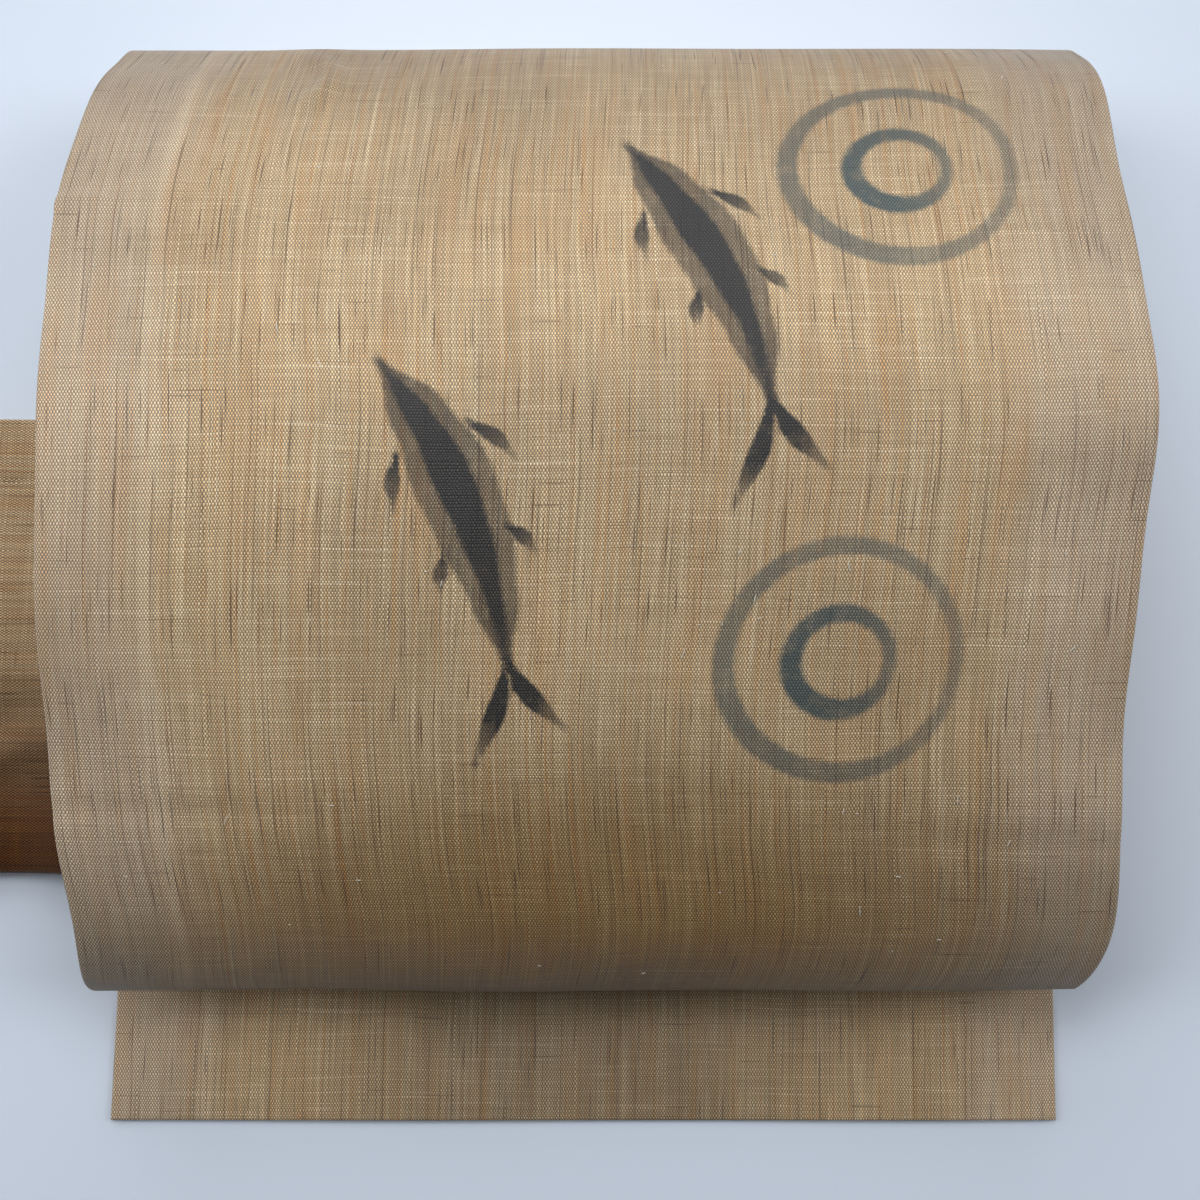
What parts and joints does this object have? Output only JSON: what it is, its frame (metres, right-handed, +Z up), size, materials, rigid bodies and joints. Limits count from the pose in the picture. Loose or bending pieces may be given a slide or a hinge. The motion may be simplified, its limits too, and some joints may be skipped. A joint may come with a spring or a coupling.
{
  "type": "folded kimono sash",
  "caption": "Lined Nagoya obi folded into a drum bow: bow loop over an obi pillow, tare flap in front, te tip at one side, waist band folded up inside.",
  "frame": {"origin": "on the surface the sash lies on, at the middle of its width, under the crown of the bow", "axes": "+X across the sash, away from the te tip; +Y from the tare flap towards the bow's top fold; +Z up"},
  "size_m": [0.3807, 0.3524, 0.0942],
  "materials": {
    "face_silk": "slubby plain-weave tan silk with painted ink motifs",
    "lining_silk": "plain tan lining weave",
    "interlining_cotton": "stiff open cotton interlining",
    "thread": "sewing thread",
    "pillow_foam": "open-cell pillow padding",
    "pillow_gauze": "white cotton gauze"
  },
  "bodies": {
    "bow": {"bow_face_cloth": "face_silk", "bow_interlining": "interlining_cotton", "bow_lining": "lining_silk", "bow_seam_left": "thread", "bow_seam_right": "thread", "band_cloth": "face_silk", "band_interlining": "interlining_cotton", "band_bar_tacks": "thread"},
    "tare": {"tare_face_cloth": "face_silk", "tare_interlining": "interlining_cotton", "tare_lining": "lining_silk", "tare_seam": "thread"},
    "te": {"te_cloth": "face_silk", "te_interlining": "interlining_cotton", "te_seam": "thread"},
    "pillow": {"pillow_core": "pillow_foam", "pillow_gauze": "pillow_gauze", "pillow_tie_left": "pillow_gauze", "pillow_tie_right": "pillow_gauze"}
  },
  "joints": [
    {"name": "tare_lift", "type": "hinge", "parent": "bow", "child": "tare", "pos_m": [0, -0.15115, 0.0021], "axis": [-1, 0, 0], "range_deg": [0, 80]},
    {"name": "te_lift", "type": "hinge", "parent": "bow", "child": "te", "pos_m": [-0.15815, -0.036, 0.0102], "axis": [0, 1, 0], "range_deg": [0, 75]},
    {"name": "pillow_slide", "type": "slide", "parent": "bow", "child": "pillow", "axis": [1, 0, 0], "range_m": [0, 0.31]}
  ]
}
